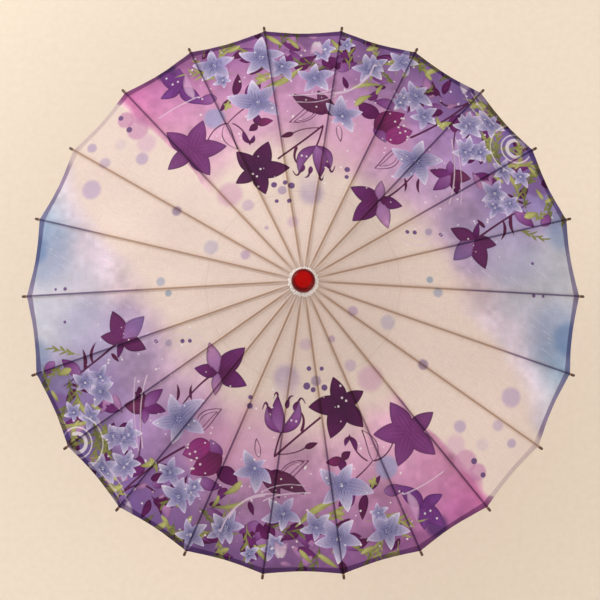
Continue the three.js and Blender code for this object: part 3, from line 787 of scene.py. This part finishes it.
def half_clear(tree, skin, colour, relief, share):
    """A skin that lets a share of the light through, on the material's output."""
    skin = node(tree, "BsdfPrincipled", {"Base Color": colour, "Normal": relief, **skin})
    through = node(tree, "BsdfTranslucent", {"Color": colour, "Normal": relief})
    both = node(tree, "MixShader", {0: share, 1: skin.outputs[0], 2: through.outputs[0]})
    node(tree, "OutputMaterial", {"Surface": both.outputs[0]})


def printed_cover():
    """Oiled cloth with its print, the painted shade of the ribs and of the joint thread through it, its
    weave and its doubled hem.
    """
    made, tree = finish_of("printed_cover")
    cloth = node(tree, "UVMap", uv_map="cloth").outputs[0]
    parts = node(tree, "SeparateXYZ", {0: cloth})
    across, along = parts.outputs[0], parts.outputs[1]
    warp = grain(tree, cloth, (700, 60, 1), 1.0, 3.0)
    weft = grain(tree, cloth, (60, 700, 1), 1.0, 3.0)
    weave = sum_of(tree, "ADD", sum_of(tree, "MULTIPLY", warp, 0.5), sum_of(tree, "MULTIPLY", weft, 0.5))

    colour = node(tree, "Attribute", attribute_name="wash_ink").outputs["Color"]
    for name in ("dark", "leaf", "pale", "white"):
        depth = node(tree, "Attribute", attribute_name=f"{name}_depth").outputs["Fac"]
        ink = node(tree, "Attribute", attribute_name=f"{name}_ink").outputs["Color"]
        strength = 0.72 if name == "white" else 0.985
        colour = blended(tree, ranged(tree, depth, -0.5, 0.5, 0.0, strength), colour, ink)

    washed = node(tree, "Attribute", attribute_name="washed").outputs["Fac"]
    stick = sum_of(tree, "ABSOLUTE", across)
    shade = ranged(tree, stick, 0.0006, 0.0022, 1.0, 0.0)
    shade = sum_of(tree, "MULTIPLY", shade, ranged(tree, along, 0.002, 0.03, 0.4, 0.85))
    shade_ink = blended(tree, washed, (0.56, 0.40, 0.28, 1), (0.20, 0.13, 0.26, 1))
    colour = blended(tree, shade, colour, shade_ink, "MULTIPLY")
    glue = ranged(tree, stick, 0.002, 0.010, 0.3, 0.0)
    colour = blended(tree, glue, colour, (0.88, 0.80, 0.74, 1), "MULTIPLY")
    hem_line = cover_length - hem_depth - edge_sag
    hem = ranged(tree, along, hem_line - 0.0004, hem_line)
    hem = sum_of(tree, "MULTIPLY", hem, ranged(tree, washed, 0.0, 1.0, 0.25, 0.8))
    colour = blended(tree, hem, colour, (0.36, 0.26, 0.42, 1), "MULTIPLY")
    # Painted shade: a faint darker ring where the joint thread lies under the cloth, for its shadow seen
    # through it.
    from_joint = sum_of(tree, "ABSOLUTE", sum_of(tree, "SUBTRACT", along, joint_distance))
    thread = ranged(tree, from_joint, 0.0003, 0.0009, 0.3, 0.0)
    colour = blended(tree, thread, colour, (0.7, 0.66, 0.66, 1), "MULTIPLY")
    worn = blended(tree, 1.0, colour, (0.91, 0.9, 0.9, 1), "MULTIPLY")
    colour = blended(tree, ranged(tree, weave, 0.38, 0.62), worn, colour)

    skin = {"Roughness": rough(tree, weave, 0.56, 0.74), "Specular IOR Level": 0.14}
    half_clear(tree, skin, colour, raised(tree, weave, 0.00025, 0.7), 0.22)
    return made


cover_finish = printed_cover()
open_half = radius_at(cover_length) * math.sin(half_pitch) * math.cos(half_pitch)
for (piece, *rest), joint, turn in cover:
    piece.data.materials.append(cover_finish)
    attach(piece, joint["child"])
    if "strip" in piece.name:
        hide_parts("canopy")
        continue
    side = Vector(joint["axis"]) * (1 if "left" in piece.name else -1)
    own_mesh(piece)
    width = open_half - strip_half


# ---- Crown knob ----
# A turned wooden button in glossy red lacquer, nearly flat on top, pressed over the end of the shaft.

def turned_piece(name, outline, steps=96):
    """A piece turned about the shaft's line from its outline of radius and height."""
    shape = bmesh.new()
    corners = [shape.verts.new((radius, 0, height)) for radius, height in outline]
    edges = [shape.edges.new(pair) for pair in zip(corners, corners[1:])]
    if outline[0][0] > 0:
        edges.append(shape.edges.new((corners[-1], corners[0])))
    bmesh.ops.spin(shape, geom=corners + edges, cent=(0, 0, 0), axis=(0, 0, 1),
                   angle=2 * math.pi, steps=steps, use_merge=True)
    bmesh.ops.remove_doubles(shape, verts=shape.verts, dist=1e-6)
    bmesh.ops.dissolve_degenerate(shape, edges=shape.edges, dist=1e-7)
    bmesh.ops.recalc_face_normals(shape, faces=shape.faces)
    return object_from(name, shape)


def bow(centre, radii, start, end, steps):
    """Points of an elliptical arc in an outline, from one angle in degrees to another."""
    angles = [math.radians(start + (end - start) * k / steps) for k in range(steps + 1)]
    return [(centre[0] + radii[0] * math.cos(a), centre[1] + radii[1] * math.sin(a)) for a in angles]


knob_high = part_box("crown_knob")[1]
knob_radius = knob_high[0]
knob_rim = knob_high[2] - 0.0186
knob_flat = 0.62 * knob_radius
knob_edge = 0.0016
shaft_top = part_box("shaft")[1][2]
neck_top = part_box("top_hub")[1][2]
bore_radius, neck_radius = 0.0068, 0.0103
crown_knob = turned_piece("lacquered_knob", [
    (0, shaft_top + 0.0003), (bore_radius, shaft_top + 0.0003), (bore_radius, neck_top + 0.0003),
    (neck_radius, neck_top + 0.0003), (neck_radius, knob_rim),
    *bow((knob_radius - knob_edge, knob_rim + knob_edge), (knob_edge, knob_edge), -90, 0, 6),
    *bow((knob_flat, knob_rim + 0.004), (knob_radius - knob_flat, 0.0128), 0, 84, 18),
    *bow((0, knob_rim + 0.0158), (knob_flat, 0.0026), 24, 90, 16)[1:-1],
    (0, knob_high[2] - 0.0001),
])


def red_lacquer():
    made, tree = finish_of("red_lacquer")
    where = node(tree, "TexCoord").outputs["Object"]
    brushed = grain(tree, where, (60, 60, 400), 1.0, 2.0)
    pitted = grain(tree, where, (1, 1, 1), 420, 2.0)
    x, y, z = node(tree, "SeparateXYZ", {0: where}).outputs
    away = distance_out(tree, x, y)
    # Painted shade: outside the flat top the lacquer is painted a deeper red, for the flank that turns away
    # from the light.
    painted_light_top = ranged(tree, away, 0.6 * knob_radius, 0.78 * knob_radius, 1.0, 0.0)
    lacquer = blended(tree, brushed, tone(150, 0, 0), tone(186, 4, 2))
    surface(tree, {
        "Base Color": blended(tree, painted_light_top, tone(104, 0, 6), lacquer),
        "Roughness": rough(tree, pitted, 0.16, 0.28),
        "Specular IOR Level": 0.08,
        "Coat Weight": 0.05,
        "Coat Roughness": 0.1,
        "Normal": raised(tree, pitted, 0.00008, 0.5),
    })
    return made


crown_knob.data.materials.append(red_lacquer())
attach(crown_knob, "frame")
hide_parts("crown_knob")


# ---- Crown membrane ----
# A ring of thin white oiled paper, gathered round the knob. It hides where the cover meets the crown,
# and its free edge is crumpled and scalloped.

membrane_inner = 0.0105
membrane_outer = 0.0212
membrane_steps = 176
membrane_rings = 14


def gathered_ring(name, lift, outer, seed):
    """A ring of crumpled paper on the cone of the cover, from circles drawn outwards."""
    shape = bmesh.new()
    made = bmesh.ops.create_circle(shape, segments=membrane_steps, radius=membrane_inner)
    rim = list({edge for vert in made["verts"] for edge in vert.link_edges})
    step = (outer - membrane_inner) / membrane_rings
    for k in range(membrane_rings):
        grown = bmesh.ops.extrude_edge_only(shape, edges=rim)["geom"]
        corners = [item for item in grown if isinstance(item, bmesh.types.BMVert)]
        size = (membrane_inner + step * (k + 1)) / (membrane_inner + step * k)
        bmesh.ops.scale(shape, verts=corners, vec=(size, size, 1))
        rim = [item for item in grown if isinstance(item, bmesh.types.BMEdge)]
    for vert in shape.verts:
        radius, angle = vert.co.xy.length, math.atan2(vert.co.y, vert.co.x)
        share = (radius - membrane_inner) / (outer - membrane_inner)
        pleat = math.sin(angle * 23 + 1.7 * math.sin(angle * 5 + seed))
        pleat += 0.6 * math.sin(angle * 41 + 2 * seed + 9 * share)
        scallop = math.sin(angle * 17 + seed) + 0.7 * math.sin(angle * 29 + 3 * seed)
        reached = radius + share ** 3 * 0.0006 * scallop
        lifted = lift + 0.0005 * share * pleat + 0.0006 * share * share * math.sin(angle * 7 + seed)
        vert.co.x, vert.co.y = reached * math.cos(angle), reached * math.sin(angle)
        vert.co.z = height_at(0) - (reached - radius_at(0)) / math.tan(open_lean) + lifted
    bmesh.ops.recalc_face_normals(shape, faces=shape.faces)
    return object_from(name, shape)


def oiled_white_paper():
    made, tree = finish_of("oiled_white_paper")
    where = node(tree, "TexCoord").outputs["Object"]
    crumple = grain(tree, where, (1, 1, 1), 260, 5.0, 0.7)
    stain = grain(tree, where, (1, 1, 1), 110, 3.0)
    # Painted shade: the paper is painted darker in the hollows of the crumple noise, for the shade in its
    # creases.
    colour = blended(tree, ranged(tree, crumple, 0.3, 0.5), tone(206, 182, 176), tone(255, 250, 247))
    colour = blended(tree, ranged(tree, stain, 0.55, 0.75, 0.0, 0.6), colour, tone(190, 150, 140))
    skin = {"Roughness": rough(tree, crumple, 0.3, 0.5)}
    half_clear(tree, skin, colour, raised(tree, crumple, 0.0009, 0.8), 0.3)
    return made


membrane_paper = oiled_white_paper()
under_ring = gathered_ring("crown_membrane", 0.0013, membrane_outer, 1.0)
upper_ring = gathered_ring("crown_membrane_upper", 0.0022, membrane_outer - 0.0016, 4.0)
for ring, outer in ((under_ring, membrane_outer), (upper_ring, membrane_outer - 0.0016)):
    ring.data.materials.append(membrane_paper)
    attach(ring, "frame")
    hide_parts("crown_collar")


# ---- Shaft ----
# A straight cane with its fibres along it, two dark rings at its joints and a thin coat of varnish.

cane_joints = (0.186, 0.338)  # heights


def varnished_cane():
    made, tree = finish_of("varnished_cane")
    where = node(tree, "TexCoord").outputs["Object"]
    height = node(tree, "SeparateXYZ", {0: where}).outputs[2]
    fibre = grain(tree, where, (700, 700, 14), 1.0, 4.0)
    cloudy = grain(tree, where, (60, 60, 9), 1.0, 2.0)
    colour = blended(tree, fibre, tone(176, 128, 74), tone(216, 178, 120))
    colour = blended(tree, ranged(tree, cloudy, 0.45, 0.75, 0.0, 0.4), colour, tone(150, 100, 54))
    lip = 0.0
    for joint_height in cane_joints:
        away = sum_of(tree, "ABSOLUTE", sum_of(tree, "SUBTRACT", height, joint_height))
        ring = ranged(tree, away, 0.0003, 0.0011, 1.0, 0.0)
        bloom = ranged(tree, away, 0.001, 0.006, 0.45, 0.0)
        colour = blended(tree, bloom, colour, tone(200, 184, 150))
        colour = blended(tree, ring, colour, tone(84, 50, 26))
        lip = sum_of(tree, "ADD", lip, ring)
    dents = sum_of(tree, "SUBTRACT", sum_of(tree, "MULTIPLY", fibre, 0.25), lip)
    surface(tree, {
        "Base Color": colour,
        "Roughness": rough(tree, fibre, 0.34, 0.5),
        "Coat Weight": 0.35,
        "Coat Roughness": 0.18,
        "Normal": raised(tree, dents, 0.0005, 0.8),
    })
    return made


dress("shaft", varnished_cane())


# ---- Top hub and runner ----
# Both are turned from hard wood stained brown, with fine lathe lines round them and worn pale edges.

def lathed_wood(name, pale, deep, varnish):
    """Turned wood with its grain upright, lathe lines round it and a coat of varnish."""
    made, tree = finish_of(name)
    where = node(tree, "TexCoord").outputs["Object"]
    grown = grain(tree, where, (160, 160, 12), 1.0, 5.0, 0.6)
    pores = grain(tree, where, (1400, 1400, 60), 1.0, 2.0)
    lathe = grain(tree, where, (8, 8, 1800), 1.0, 2.0)
    colour = blended(tree, ranged(tree, grown, 0.35, 0.65), deep, pale)
    colour = blended(tree, ranged(tree, pores, 0.6, 0.75, 0.0, 0.5), colour, deep)
    dents = sum_of(tree, "ADD", sum_of(tree, "MULTIPLY", lathe, 0.6), sum_of(tree, "MULTIPLY", pores, 0.4))
    surface(tree, {
        "Base Color": colour,
        "Roughness": rough(tree, grown, 0.36, 0.52),
        "Coat Weight": varnish,
        "Coat Roughness": 0.14,
        "Normal": raised(tree, dents, 0.00012, 0.6),
    })
    return made


stained_wood = lathed_wood("stained_wood", tone(142, 92, 54), tone(92, 54, 32), 0.2)
for part_name in ("top_hub", "runner"):
    dress(part_name, stained_wood)


# ---- Pins, tie wire and catch ----
# Drawn steel for the pins and for the wire that ties the ribs to the hub. The sprung catch and its leaf
# are bent from strip that is brushed along its length.

def brushed_steel(name, stretch, tint, smoothest):
    """Bare steel with fine scratches that run one way."""
    made, tree = finish_of(name)
    where = node(tree, "TexCoord").outputs["Object"]
    scratch = grain(tree, where, stretch, 1.0, 3.0)
    dull = grain(tree, where, (1, 1, 1), 160, 2.0)
    rough = sum_of(tree, "ADD", ranged(tree, scratch, 0.3, 0.7, smoothest, smoothest + 0.14),
                   ranged(tree, dull, 0.5, 0.8, 0.0, 0.12))
    surface(tree, {
        "Base Color": blended(tree, scratch, tone(*[0.86 * part for part in tint]), tone(*tint)),
        "Metallic": 1.0,
        "Roughness": rough,
        "Normal": raised(tree, scratch, 0.00006, 0.4),
    })
    return made


drawn_steel = brushed_steel("drawn_steel", (500, 500, 500), (196, 192, 186), 0.26)
strip_steel = brushed_steel("strip_steel", (1600, 1600, 40), (206, 202, 194), 0.2)
for part_name in ("hub_tie_wire", "hub_pin", "runner_stop_pin", "catch_pin"):
    dress(part_name, drawn_steel)
for part_name in ("catch", "catch_spring"):
    dress(part_name, strip_steel)


# ---- Handle ----
# A turned grip and its end cap in dark brown lacquer. The grip swells in the palm, with a ring turned
# near its foot and a bead under its neck.

def flowing(points, steps=5):
    """A smooth line through the points of an outline."""
    held = [points[0], *points, points[-1]]
    line = []
    for a, b, c, d in zip(held, held[1:], held[2:], held[3:]):
        for k in range(steps):
            t = k / steps
            line.append(tuple(
                0.5 * (2 * q + (r - p) * t + (2 * p - 5 * q + 4 * r - s) * t * t
                       + (3 * q - p - 3 * r + s) * t ** 3)
                for p, q, r, s in zip(a, b, c, d)))
    return [*line, points[-1]]


grip_low, grip_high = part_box("handle_grip")
cap_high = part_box("handle_end_cap")[1]
palm = grip_high[0]  # the grip's greatest radius
foot, neck = grip_low[2], grip_high[2]
shaft_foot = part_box("shaft")[0][2]
cap_radius = 0.0115
cap_rim = 0.005
spigot_radius = 0.005
fit = 0.0003
lacquered_grip = turned_piece("lacquered_grip", [
    (spigot_radius + fit, foot),
    *flowing([(palm - 0.0018, foot), (palm - 0.0007, foot + 0.0012), (palm - 0.0002, foot + 0.0035),
              (palm - 0.0007, foot + 0.006), (palm - 0.0022, foot + 0.0072), (palm - 0.0022, foot + 0.0084),
              (palm - 0.0008, foot + 0.0096), (palm - 0.0002, foot + 0.013), (palm, foot + 0.030),
              (palm - 0.0006, foot + 0.055), (palm - 0.0018, neck - 0.030), (palm - 0.0026, neck - 0.018),
              (palm - 0.0026, neck - 0.0152), (palm - 0.0012, neck - 0.0136), (palm - 0.001, neck - 0.0116),
              (palm - 0.002, neck - 0.010), (palm - 0.0028, neck - 0.0086), (palm - 0.003, neck - 0.003),
              (palm - 0.0038, neck)]),
    (bore_radius, neck), (bore_radius, shaft_foot - fit), (spigot_radius + fit, shaft_foot - fit),
])
lacquered_cap = turned_piece("lacquered_cap", [
    (0, 0),
    *flowing([(cap_radius - 0.0017, 0), (cap_radius - 0.0005, 0.0005), (cap_radius, 0.0017),
              (cap_radius, cap_rim - 0.0012), (cap_radius - 0.0009, cap_rim)]),
    (spigot_radius, cap_rim), (spigot_radius, cap_high[2]), (0, cap_high[2]),
])
handle_lacquer = lathed_wood("handle_lacquer", tone(96, 52, 30), tone(52, 26, 16), 0.75)
for piece, node_name in ((lacquered_grip, "handle_grip"), (lacquered_cap, "handle_end_cap")):
    piece.data.materials.append(handle_lacquer)
    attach(piece, "frame")
    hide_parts(node_name)


# ---- Threads ----
# Waxed thread runs through the joints of the ribs and struts, and a cord ties the struts to the runner.
# The long thread shortens with the ribs as they fold, so each joint carries its own length of it.

thread_radius = 0.00035
tie_radius = 0.00055


def thread_along(name, route, radius, sides=8, closed=False):
    """A round thread along a route of points."""
    shape = bmesh.new()
    rings = []
    for k, place in enumerate(route):
        after = route[(k + 1) % len(route)] if closed else route[min(k + 1, len(route) - 1)]
        before = route[k - 1] if closed else route[max(k - 1, 0)]
        ahead = (after - before).normalized()
        beside = ahead.cross(Vector((0, 0, 1))).normalized()
        above = beside.cross(ahead)
        angles = [2 * math.pi * step / sides for step in range(sides)]
        rings.append([shape.verts.new(place + radius * (math.cos(a) * beside + math.sin(a) * above))
                      for a in angles])
    pairs = list(zip(rings, rings[1:]))
    if closed:
        pairs.append((rings[-1], rings[0]))
    else:
        shape.faces.new(rings[0])
        shape.faces.new(rings[-1])
    for one, other in pairs:
        for k in range(sides):
            shape.faces.new((one[k], one[(k + 1) % sides], other[(k + 1) % sides], other[k]))
    bmesh.ops.recalc_face_normals(shape, faces=shape.faces)
    return object_from(name, shape)


def waxed_thread(name, pale, deep):
    made, tree = finish_of(name)
    where = node(tree, "TexCoord").outputs["Object"]
    twist = grain(tree, where, (1, 1, 1), 2600, 2.0)
    surface(tree, {
        "Base Color": blended(tree, twist, deep, pale),
        "Roughness": rough(tree, twist, 0.5, 0.7),
        "Normal": raised(tree, twist, 0.00015, 0.8),
    })
    return made


joint_thread = waxed_thread("joint_thread", tone(226, 208, 190), tone(168, 120, 132))
tie_thread = waxed_thread("tie_thread", tone(196, 164, 112), tone(132, 98, 60))
joint_radius = pivot_radius + joint_distance * math.sin(open_lean)
joint_height = hub_height - joint_distance * math.cos(open_lean)
web_half = 0.0011
thread_half = joint_radius * math.tan(half_pitch) - fit
thread_stops = (-thread_half, -thread_half / 2, -web_half, web_half, thread_half / 2, thread_half)
for number, joint in enumerate(rib_joints, 1):
    pivot, along_pivot = Vector(joint["pos_m"]), Vector(joint["axis"]).normalized()
    outwards = Vector((pivot.x, pivot.y, 0)).normalized()
    middle = joint_radius * outwards + Vector((0, 0, joint_height))
    route = [middle + along_pivot * offset for offset in thread_stops]
    thread = thread_along(f"joint_thread_{number:02d}", route, thread_radius)
    thread.data.materials.append(joint_thread)
    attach(thread, joint["child"])
    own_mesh(thread)
runner_height = 2 * joint_height - hub_height
circle = [2 * math.pi * k / 132 for k in range(132)]
groove = [Vector((pivot_radius * math.cos(a), pivot_radius * math.sin(a), runner_height)) for a in circle]
runner_tie = thread_along("runner_tie", groove, tie_radius, closed=True)
runner_tie.data.materials.append(tie_thread)
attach(runner_tie, "runner")
